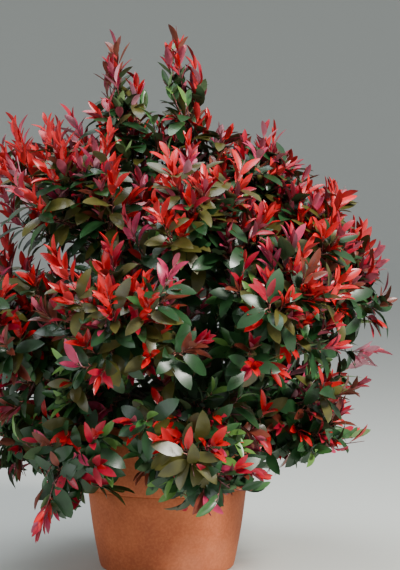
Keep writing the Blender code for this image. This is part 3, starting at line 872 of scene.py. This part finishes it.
def cell_walls(mass, masses):
    """Planes half way to every other mass, as (point, normal towards the neighbour)."""
    site = mass.start.lerp(mass.tip, 0.5)
    walls = []
    for other in masses:
        if other is not mass:
            other_site = other.start.lerp(other.tip, 0.5)
            walls.append(((site + other_site) / 2, (other_site - site).normalized()))
    return walls


def in_dome(point, above=0.0):
    """Within the crown's outline, whose top may be raised a little."""
    height = point.z + DOME_SHEAR * point.x - DOME_WAIST
    rise = height / (DOME_RISE + above if height > 0.0 else DOME_FALL)
    return (point.xy.length / DOME_RADIUS) ** DOME_POWER + abs(rise) ** DOME_POWER <= 1.0


def near_shoot(point, start, tip):
    """A mass's own leading shoot may stand out of the dome, slender towards its tip."""
    shoot = tip - start
    share = max(0.0, min(1.0, (point - start).dot(shoot) / shoot.length_squared))
    return (point - start - shoot * share).length < TIP_REACH * (1.0 - TIP_NARROWING * share)


def above_hem(point):
    return point.z > max(HEM_LOWEST, HEM_HEIGHT + HEM_SLOPE * point.x)


def clear_of_pot(point):
    return point.z > POT_HEIGHT + POT_CLEARANCE or point.xy.length > POT_RIM_RADIUS + POT_CLEARANCE


def bent(heading, rise):
    return (heading + Vector((0.0, 0.0, rise))).normalized()


class Growth:
    """What one mass or bough grows: its space, and the twigs and leaves that it adds."""

    def __init__(self, seed, twigs, leaves, tropism=0.0, walls=(), above=0.0, leading=None):
        self.dice = random.Random(seed)
        self.twigs = twigs
        self.leaves = leaves
        self.tropism = tropism
        self.walls = walls
        self.above = above
        self.leading = leading

    def inside(self, point, slack=0.0):
        if any((point - place).dot(normal) > slack for place, normal in self.walls):
            return False
        if not (clear_of_pot(point) and above_hem(point) and point.z < CROWN_TOP):
            return False
        return in_dome(point, self.above) or bool(self.leading and near_shoot(point, *self.leading))

    def leaf(self, root, direction, facing, kind, colour):
        """A leaf, left out where it would leave its space."""
        length = self.dice.uniform(*kind.length)
        direction = direction.normalized()
        tip = root + direction * length
        if not (self.inside(tip, LEAF_SLACK) and self.inside(root.lerp(tip, 0.5), LEAF_SLACK)):
            return
        width = length * kind.width * self.dice.uniform(*WIDTH_VARIATION)
        curl = self.dice.uniform(*kind.curl)
        fold = self.dice.uniform(*kind.fold)
        wave = self.dice.uniform(0.0, math.tau)
        self.leaves[colour].append(Leaf(root, direction, facing, length, width, curl, fold, wave))

    def shoot(self, start, heading, length, spray, leaf_count):
        """A finest twig and its spray: small erect leaves at its tip, larger ones lower down."""
        for share in SHOOT_TRIES:
            end = start + heading * length * share + Vector((0, 0, SHOOT_RISE * length * share))
            if self.inside(end):
                break
        else:
            return
        middle = start.lerp(end, 0.5) + Vector((0.0, 0.0, -SHOOT_SAG * length))
        path = [start, middle, end]
        self.twigs.add(path, SHOOT_RADII, TWIG_SIDES)
        turn = self.dice.uniform(0.0, math.tau)
        for index in range(leaf_count):
            share = FIRST_LEAF + (1.0 - FIRST_LEAF) * (index / (leaf_count - 1)) ** LEAF_CROWDING
            self.shoot_leaf(path, share, turn + index * GOLDEN_ANGLE, spray)

    def shoot_leaf(self, path, share, turn, spray):
        """One leaf of a spray, whose age goes by its share of the way up the shoot."""
        place, axis = point_on(path, min(share, LAST_LEAF))
        tip_colour, middle_colour, foot_colour = SPRAYS[spray]
        if share > TIP_FROM:
            kind, colour = TIP_LEAF, tip_colour
        elif share > YOUNG_FROM:
            kind, colour = YOUNG_LEAF, middle_colour
        else:
            kind, colour = MATURE_LEAF, foot_colour
        if spray in ("green", "dark") and kind is TIP_LEAF:
            kind = YOUNG_LEAF
        direction = side_heading(axis, turn, self.dice.uniform(*kind.spread))
        if kind is MATURE_LEAF:
            direction = direction + Vector((0.0, 0.0, self.dice.uniform(*MATURE_DROOP)))
        outward = Vector((place.x, place.y, FACING_RISE))
        facing = axis + outward * (TIP_FACING if kind is TIP_LEAF else OPEN_FACING)
        self.leaf(place, direction, facing, kind, colour)

    def spray_for(self, place):
        """Red sprays crown the top and the outer skin, green ones fill the inside and the foot."""
        height = (place.z - RED_FROM_HEIGHT) / RED_HEIGHT_SPAN
        outside = place.xy.length / DOME_RADIUS
        chance = self.dice.uniform(-RED_BY_CHANCE, RED_BY_CHANCE)
        redness = RED_BY_HEIGHT * height + RED_BY_REACH * outside + chance
        return next((spray for least, spray in SPRAY_STEPS if redness > least), "dark")

    def clothe(self, path, count, first_turn, length):
        """Shoots at golden angles along a twig, and one at its tip."""
        rise = self.tropism + SHOOT_LIFT
        for index in range(count):
            place, heading = point_on(path, FIRST_SHOOT + SHOOT_STRETCH * index / (count - 1))
            spread = self.dice.uniform(*SHOOT_SPREAD)
            out = bent(side_heading(heading, first_turn + index * GOLDEN_ANGLE, spread), rise)
            reach = length * self.dice.uniform(*SHOOT_VARIATION)
            spray = self.spray_for(place + out * reach)
            self.shoot(place, out, reach, spray, self.dice.randint(*SHOOT_LEAVES))
        place, heading = point_on(path, END_SHOOT)
        out = bent(heading, rise)
        spray = self.spray_for(place + out * length)
        self.shoot(place, out, length * END_SHOOT_STRETCH, spray, END_SHOOT_LEAVES)

    def old_leaves(self, path, count, turn):
        """Old green leaves that sit straight on a twig, inside the crown."""
        for index in range(count):
            place, heading = point_on(path, FIRST_OLD_LEAF + OLD_STRETCH * index / (count - 1))
            spread = self.dice.uniform(*OLD_SPREAD)
            direction = side_heading(heading, turn + index * GOLDEN_ANGLE, spread)
            colour = self.dice.choice(("dark_green", "dark_green", "mid_green", "olive"))
            facing = Vector((place.x * OLD_OUTWARD, place.y * OLD_OUTWARD, 1.0))
            self.leaf(place, direction, facing, MATURE_LEAF, colour)


def grow_mass(mass, masses, twigs, leaves):
    """A stem that runs on from its bough, then twigs up the stem, then shoots on all of them."""
    growth = Growth(mass.name + " fine", twigs, leaves, mass.tropism, cell_walls(mass, masses),
                    OUTER_REACH, (mass.start, mass.tip))
    end_heading = bent((mass.tip - mass.start).normalized(), mass.tropism)
    stem_end = mass.tip - end_heading * SOLID_LEAF_LENGTH * STEM_END_SHARE
    path = sweep(mass.start, mass.heading, stem_end, end_heading, STEM_STEPS)
    stem = refined(path, taper(mass.base_radius, STEM_TIP_RADIUS, len(path)), STEM_STEP)
    twigs.add(*stem, TWIG_SIDES + 2)
    dice = random.Random(mass.name)
    first_turn = dice.uniform(0.0, math.tau)
    for index in range(TWIGS_PER_MASS):
        twig = grow_twig(growth, path, index, first_turn, dice)
        growth.clothe(twig, TWIG_SHOOTS, first_turn + index, TWIG_SHOOT_LENGTH)
        growth.old_leaves(twig, TWIG_OLD_LEAVES, first_turn - index)
    growth.clothe(path, STEM_SHOOTS, first_turn + STEM_SHOOT_TURN, STEM_SHOOT_LENGTH)
    growth.old_leaves(path, STEM_OLD_LEAVES, first_turn + STEM_OLD_TURN)
    foot, _ = point_on(path, LEADING_SHOOT)
    lead = mass.tip - foot
    growth.shoot(foot, lead.normalized(), lead.length * LEADING_SHOOT_LENGTH,
                 growth.spray_for(mass.tip), LEADING_LEAVES)


def grow_twig(growth, path, index, first_turn, dice):
    """A twig of the solids' rule, which sags a little: shorter and steeper towards the stem's tip."""
    share = FIRST_TWIG + TWIG_STRETCH * index / (TWIGS_PER_MASS - 1)
    place, heading = point_on(path, share)
    spread = math.radians(TWIG_SPREAD - TWIG_CLOSING * share)
    out = bent(side_heading(heading, first_turn + index * GOLDEN_ANGLE, spread), growth.tropism)
    length = TWIG_LENGTH * (1.0 - TWIG_SHORTENING * share) * dice.uniform(*TWIG_VARIATION)
    for part in TWIG_TRIES:
        end = place + out * length * part
        if growth.inside(end):
            break
    middle = place.lerp(end, 0.5) + Vector((0.0, 0.0, -TWIG_SAG * length))
    growth.twigs.add([place, middle, end], TWIG_RADII, TWIG_SIDES)
    return [place, middle, end]


def grow_inner_shoots(limb, twigs, leaves):
    """Short green shoots that fill the crown's inside along the outer half of a bough."""
    growth = Growth(limb.name, twigs, leaves)
    for index in range(INNER_SHOOTS):
        share = FIRST_INNER_SHOOT + INNER_STRETCH * index / (INNER_SHOOTS - 1)
        place, heading = point_on(limb.path, share)
        spread = growth.dice.uniform(*INNER_SHOOT_SPREAD)
        out = side_heading(heading, index * GOLDEN_ANGLE + growth.dice.uniform(0.0, 0.8), spread)
        out = (out + Vector((place.x, place.y, 0.0)).normalized() * INNER_OUTWARD).normalized()
        spray = growth.dice.choice(("green", "dark", "dark", "bronze", "rose"))
        growth.shoot(place, out, growth.dice.uniform(*INNER_SHOOT_LENGTHS), spray, INNER_LEAVES)


# Leaf meshes: stations from the foot of the leaf stalk to the tip of the blade, as its shares
STALK_SHARE = 0.15
STATIONS = np.array([-STALK_SHARE, -0.01, 0.08, 0.26, 0.48, 0.70, 0.87, 1.0])
COLUMNS = np.array([-1.0, 0.0, 1.0])
STALK_HALF_WIDTH = 0.0010
BLADE_HALF_THICKNESS = 0.00035
TIP_HALF_WIDTH = 0.0002
STALK_THICKENING = 2.6
FOOT_POWER = 0.62
POINT_POWER = 0.78
RIPPLE_SHARE = 0.07
RIPPLE_TURN = 9.0

# Places of the materials on a leaf
UPPER_SIDE, UNDERSIDE, STALK = range(3)


def blade_outline(share):
    """Half width along the blade, as a share of its widest: rounded foot, pointed tip."""
    inside = np.clip(share, 0.0, 1.0)
    curve = inside**FOOT_POWER * (1.0 - inside) ** POINT_POWER
    widest = FOOT_POWER / (FOOT_POWER + POINT_POWER)
    return curve / (widest**FOOT_POWER * (1.0 - widest) ** POINT_POWER)


def blade_template():
    """Shares along and across, and the layer, of each point of one leaf, with its faces."""
    along = np.repeat(STATIONS, 2 * len(COLUMNS))
    across = np.tile(COLUMNS, 2 * len(STATIONS))
    side = np.tile(np.repeat([1.0, -1.0], len(COLUMNS)), len(STATIONS))
    layer = side * (1.0 - np.abs(across))
    row = 2 * len(COLUMNS)
    faces = []
    materials = []
    for station in range(len(STATIONS) - 1):
        for column in range(len(COLUMNS) - 1):
            top = station * row + column
            under = top + len(COLUMNS)
            faces.append((top, top + 1, top + row + 1, top + row))
            faces.append((under, under + row, under + row + 1, under + 1))
            materials += [STALK, STALK] if station == 0 else [UPPER_SIDE, UNDERSIDE]
    return along, across, layer, np.array(faces), np.array(materials)


def leaf_points(leaves, along, across, layer):
    """World points of every leaf, as an array of leaves by points by axes."""
    root = np.array([leaf.root for leaf in leaves])
    forward = np.array([leaf.direction for leaf in leaves])
    facing = np.array([leaf.facing for leaf in leaves])
    length, width, curl, fold, wave = (
        np.array([getattr(leaf, key) for leaf in leaves])[:, None]
        for key in ("length", "width", "curl", "fold", "wave"))
    side = np.cross(forward, facing)
    side /= np.linalg.norm(side, axis=1, keepdims=True)
    up = np.cross(side, forward)
    half = np.maximum(blade_outline(along) * width / 2, TIP_HALF_WIDTH)
    half = np.where(along <= 0.0, STALK_HALF_WIDTH, half)
    sideways = half * across
    angle = curl * np.clip(along, 0.0, 1.0)
    forwards = np.where(along > 0.0, length * np.sin(angle) / curl, length * along)
    drop = -length * (1.0 - np.cos(angle)) / curl
    ripple = RIPPLE_SHARE * half * np.sin(wave + along * RIPPLE_TURN) * across**2
    blade_fold = np.where(along > 0.0, fold, 0.0)
    thick = BLADE_HALF_THICKNESS * layer * np.where(along <= 0.0, STALK_THICKENING, 1.0)
    thick = np.where(along >= 1.0, 0.0, thick)
    rise = blade_fold * np.abs(sideways) + ripple + thick
    out = forwards + STALK_SHARE * length + rise * np.sin(angle)
    lift = drop + rise * np.cos(angle)
    return (root[:, None, :] + out[..., None] * forward[:, None, :]
            + sideways[..., None] * side[:, None, :] + lift[..., None] * up[:, None, :])


def leaf_mesh(name, leaves):
    along, across, layer, faces, face_materials = blade_template()
    points = leaf_points(leaves, along, across, layer)
    count = len(leaves)
    corners = faces[None, :, :] + (np.arange(count) * len(along))[:, None, None]
    mesh = bpy.data.meshes.new(name)
    mesh.vertices.add(count * len(along))
    mesh.vertices.foreach_set("co", points.astype(np.float32).ravel())
    mesh.loops.add(corners.size)
    mesh.loops.foreach_set("vertex_index", corners.astype(np.int32).ravel())
    mesh.polygons.add(count * len(faces))
    mesh.polygons.foreach_set("loop_start", np.arange(0, corners.size, 4, dtype=np.int32))
    mesh.polygons.foreach_set("material_index", np.tile(face_materials, count).astype(np.int32))
    mesh.polygons.foreach_set("use_smooth", np.ones(count * len(faces), dtype=bool))
    mesh.update(calc_edges=True)
    return mesh


def make_foliage(limbs, masses):
    """Twigs and leaves of every mass, and of every bough but the leader, in pieces by colour."""
    twigs = Tubes()
    leaves = {colour: [] for colour in LEAF_COLOURS}
    for mass in masses:
        grow_mass(mass, masses, twigs, leaves)
    for limb in limbs[2:]:
        grow_inner_shoots(limb, twigs, leaves)
    add_piece("twigs", twigs.mesh("twigs"), [], [twig_material()])
    stalk = petiole_material()
    for colour, group in leaves.items():
        upper, under = LEAF_COLOURS[colour]
        materials = [leaf_material(f"leaf_{colour}", upper, True),
                     leaf_material(f"leaf_{colour}_under", under, False), stalk]
        nodes = [mass.name for mass in masses if mass.slot == LEADING_COLOUR.get(colour)]
        for first in range(0, len(group), MOST_LEAVES):
            name = f"leaves_{colour}_{first // MOST_LEAVES + 1}"
            mesh = leaf_mesh(name, group[first:first + MOST_LEAVES])
            add_piece(name, mesh, nodes if first == 0 else [], materials)


# Stage


def make_floor():
    """A pale round floor that sweeps up far away, so that no horizon shows."""
    profile = [(0.0, 0.0), (SWEEP_START, 0.0)]
    for step in range(1, SWEEP_STEPS + 1):
        angle = math.pi / 2 * step / SWEEP_STEPS
        profile.append((SWEEP_START + SWEEP_RADIUS * math.sin(angle),
                        SWEEP_RADIUS * (1.0 - math.cos(angle))))
    mesh = turned_mesh("floor", profile, FLOOR_STEPS)
    mesh.shade_smooth()
    mesh.materials.append(plain_material("floor_paper", (0.60, 0.62, 0.58), 0.9))
    floor = bpy.data.objects.new("floor", mesh)
    bpy.context.scene.collection.objects.link(floor)
    floor.location.z = -FLOOR_DROP


def aim(obj, target):
    obj.rotation_euler = (target - obj.location).to_track_quat("-Z", "Y").to_euler()


def add_light(name, place, size, power, colour):
    """A round soft light that shines on the crown."""
    light = bpy.data.lights.new(name, "AREA")
    light.shape = "DISK"
    light.size = size
    light.energy = power
    light.color = colour
    obj = bpy.data.objects.new(name, light)
    obj.location = place
    bpy.context.scene.collection.objects.link(obj)
    aim(obj, CROWN_MIDDLE)


def make_studio():
    world = bpy.data.worlds.new("studio")
    world.use_nodes = True
    world.node_tree.nodes["Background"].inputs["Color"].default_value = (0.80, 0.84, 0.88, 1.0)
    world.node_tree.nodes["Background"].inputs["Strength"].default_value = 0.55
    bpy.context.scene.world = world
    add_light("key", (2.4, -2.0, 2.9), 1.1, 265.0, (1.0, 0.965, 0.91))
    add_light("sky", (-0.6, 0.3, 3.6), 2.4, 95.0, (0.90, 0.95, 1.0))
    add_light("fill", (-2.6, -2.6, 1.4), 2.2, 38.0, (0.92, 0.96, 1.0))


def make_camera():
    """The camera stands where the photograph's framing puts it."""
    width, height = PICTURE_SIZE
    target = Vector(((width / 2 - POT_AXIS_PIXEL) * METRES_PER_PIXEL, 0.0,
                     (POT_FOOT_PIXEL - height / 2) * METRES_PER_PIXEL))
    data = bpy.data.cameras.new("camera")
    data.sensor_width = SENSOR_MM
    data.lens = SENSOR_MM * CAMERA_DISTANCE / (height * METRES_PER_PIXEL)
    data.clip_end = 100.0
    camera = bpy.data.objects.new("camera", data)
    back = Vector((0.0, -math.cos(CAMERA_ELEVATION), math.sin(CAMERA_ELEVATION)))
    camera.location = target + back * CAMERA_DISTANCE
    bpy.context.scene.collection.objects.link(camera)
    aim(camera, target)
    bpy.context.scene.camera = camera


trunk = make_trunk()
limbs, masses = make_boughs(trunk)
make_pot()
make_compost()
make_bark(limbs)
make_foliage(limbs, masses)
make_floor()
make_studio()
make_camera()
